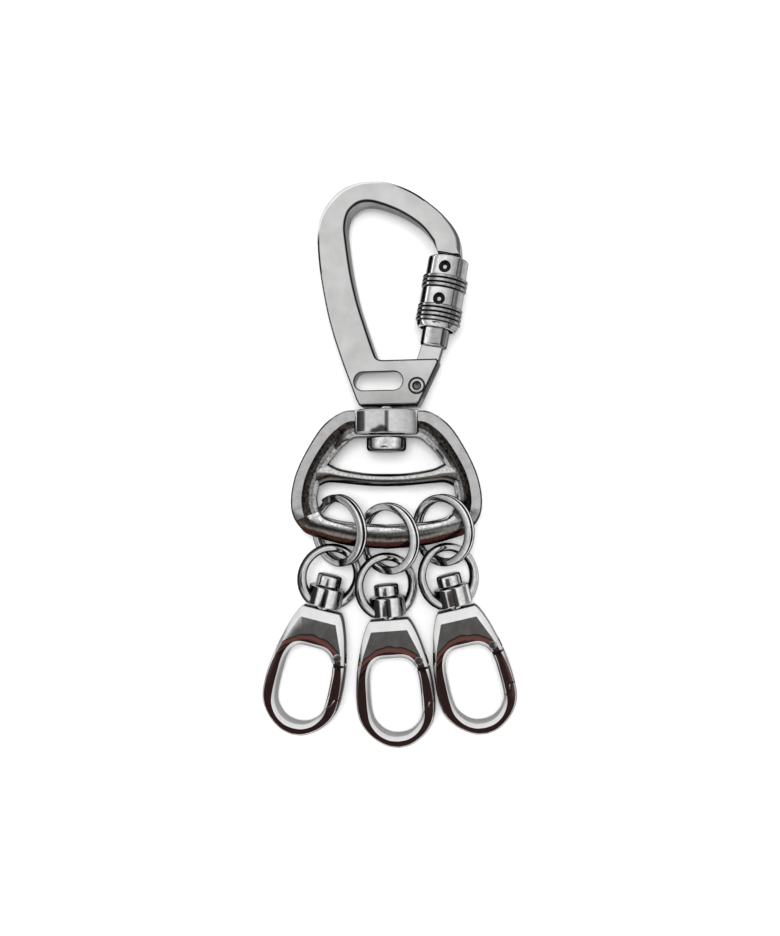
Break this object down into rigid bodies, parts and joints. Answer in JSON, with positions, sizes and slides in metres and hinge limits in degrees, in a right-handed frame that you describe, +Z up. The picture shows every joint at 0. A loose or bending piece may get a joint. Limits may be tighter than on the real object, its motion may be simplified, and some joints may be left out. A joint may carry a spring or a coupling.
{
  "type": "key chain carabiner",
  "caption": "Locking-gate carabiner with a swivelling dee that carries split rings, each with a swivelling spring snap hook for keys.",
  "frame": {"origin": "on the surface that the whole lies on, under the middle of its bounding box", "axes": "+Y from the snap hooks to the carabiner's bow, +X to the gate's side, +Z up from the surface"},
  "size_m": [0.0646, 0.142, 0.0142],
  "materials": {
    "carabiner_chrome": "satin faces, bright chrome edges",
    "gate_chrome": "bright chrome plate",
    "sleeve_chrome": "bright chrome plate, turned ribs",
    "dee_chrome": "bright chrome plate",
    "ring_nickel": "bright nickel plate",
    "eye_chrome": "bright chrome plate",
    "hook_chrome": "mirror-bright chrome plate",
    "lever_chrome": "mirror-bright chrome plate",
    "rivet_chrome": "bright chrome plate",
    "spring_steel": "plain spring steel"
  },
  "bodies": {
    "root": {"carabiner_body": "carabiner_chrome", "gate_pivot_pin": "rivet_chrome", "gate_spring": "spring_steel", "swivel_post": "rivet_chrome"},
    "gate": {"gate_arm": "gate_chrome"},
    "sleeve": {"lock_sleeve": "sleeve_chrome"},
    "dee": {"dee_frame": "dee_chrome"},
    "ring_left": {"split_ring_left": "ring_nickel"},
    "eye_left": {"hook_eye_left": "eye_chrome"},
    "hook_left": {"hook_body_left": "hook_chrome", "hook_rivet_left": "rivet_chrome", "hook_lever_pin_left": "rivet_chrome", "hook_spring_left": "spring_steel"},
    "lever_left": {"hook_lever_left": "lever_chrome"},
    "ring_middle": {"split_ring_middle": "ring_nickel"},
    "eye_middle": {"hook_eye_middle": "eye_chrome"},
    "hook_middle": {"hook_body_middle": "hook_chrome", "hook_rivet_middle": "rivet_chrome", "hook_lever_pin_middle": "rivet_chrome", "hook_spring_middle": "spring_steel"},
    "lever_middle": {"hook_lever_middle": "lever_chrome"},
    "ring_right": {"split_ring_right": "ring_nickel"},
    "eye_right": {"hook_eye_right": "eye_chrome"},
    "hook_right": {"hook_body_right": "hook_chrome", "hook_rivet_right": "rivet_chrome", "hook_lever_pin_right": "rivet_chrome", "hook_spring_right": "spring_steel"},
    "lever_right": {"hook_lever_right": "lever_chrome"}
  },
  "joints": [
    {"name": "gate_hinge", "type": "hinge", "parent": "root", "child": "gate", "pos_m": [0.00711, 0.01979, 0.0075], "axis": [-0.165, 0, 0.9863], "range_deg": [0, 18], "stiffness_Nm_per_rad": 0.05, "springref_deg": -11.46, "deforming": ["gate_spring"]},
    {"name": "sleeve_slide", "type": "slide", "parent": "gate", "child": "sleeve", "axis": [-0.1742, -0.9843, -0.0292], "range_m": [-0.0012, 0.0032]},
    {"name": "dee_swivel", "type": "hinge", "parent": "root", "child": "dee", "pos_m": [-0.00083, 0.01389, 0.00617], "axis": [0, 1, 0], "continuous": true},
    {"name": "ring_swing_left", "type": "hinge", "parent": "dee", "child": "ring_left", "pos_m": [-0.01273, -0.01638, 0.00617], "axis": [-1, 0, 0], "range_deg": [-12, 12]},
    {"name": "eye_swing_left", "type": "hinge", "parent": "ring_left", "child": "eye_left", "pos_m": [-0.01282, -0.02231, 0.006], "axis": [-0.9723, 0.2338, 0], "range_deg": [-26, 26]},
    {"name": "hook_swivel_left", "type": "hinge", "parent": "eye_left", "child": "hook_left", "pos_m": [-0.01504, -0.0276, 0.00524], "axis": [0.2335, 0.971, 0.0523], "continuous": true},
    {"name": "lever_hinge_left", "type": "hinge", "parent": "hook_left", "child": "lever_left", "pos_m": [-0.0129, -0.04785, 0.00495], "axis": [0.1138, 0.0262, -0.9932], "range_deg": [0, 18], "stiffness_Nm_per_rad": 0.003, "springref_deg": -20.05, "deforming": ["hook_spring_left"]},
    {"name": "ring_swing_middle", "type": "hinge", "parent": "dee", "child": "ring_middle", "pos_m": [-0.00033, -0.01755, 0.00617], "axis": [-1, 0, 0], "range_deg": [-12, 18]},
    {"name": "eye_swing_middle", "type": "hinge", "parent": "ring_middle", "child": "eye_middle", "pos_m": [-0.00072, -0.02442, 0.00567], "axis": [-0.9962, -0.0872, 0], "range_deg": [-28, 36]},
    {"name": "hook_swivel_middle", "type": "hinge", "parent": "eye_middle", "child": "hook_middle", "pos_m": [-0.00092, -0.02994, 0.00524], "axis": [-0.087, 0.9948, 0.0523], "continuous": true},
    {"name": "lever_hinge_middle", "type": "hinge", "parent": "hook_middle", "child": "lever_middle", "pos_m": [0.00754, -0.04846, 0.00495], "axis": [0.0996, 0.061, -0.9932], "range_deg": [0, 18], "stiffness_Nm_per_rad": 0.003, "springref_deg": -20.05, "deforming": ["hook_spring_middle"]},
    {"name": "ring_swing_right", "type": "hinge", "parent": "dee", "child": "ring_right", "pos_m": [0.01329, -0.01549, 0.00617], "axis": [-1, 0, 0], "range_deg": [-45, 14]},
    {"name": "eye_swing_right", "type": "hinge", "parent": "ring_right", "child": "eye_right", "pos_m": [0.01332, -0.02223, 0.00584], "axis": [-0.9695, -0.2449, 0], "range_deg": [-42, 52]},
    {"name": "hook_swivel_right", "type": "hinge", "parent": "eye_right", "child": "hook_right", "pos_m": [0.01473, -0.02749, 0.00524], "axis": [-0.2446, 0.9682, 0.0523], "continuous": true},
    {"name": "lever_hinge_right", "type": "hinge", "parent": "hook_right", "child": "lever_right", "pos_m": [0.02603, -0.04443, 0.00495], "axis": [0.0886, 0.0761, -0.9932], "range_deg": [0, 18], "stiffness_Nm_per_rad": 0.003, "springref_deg": -20.05, "deforming": ["hook_spring_right"]}
  ]
}
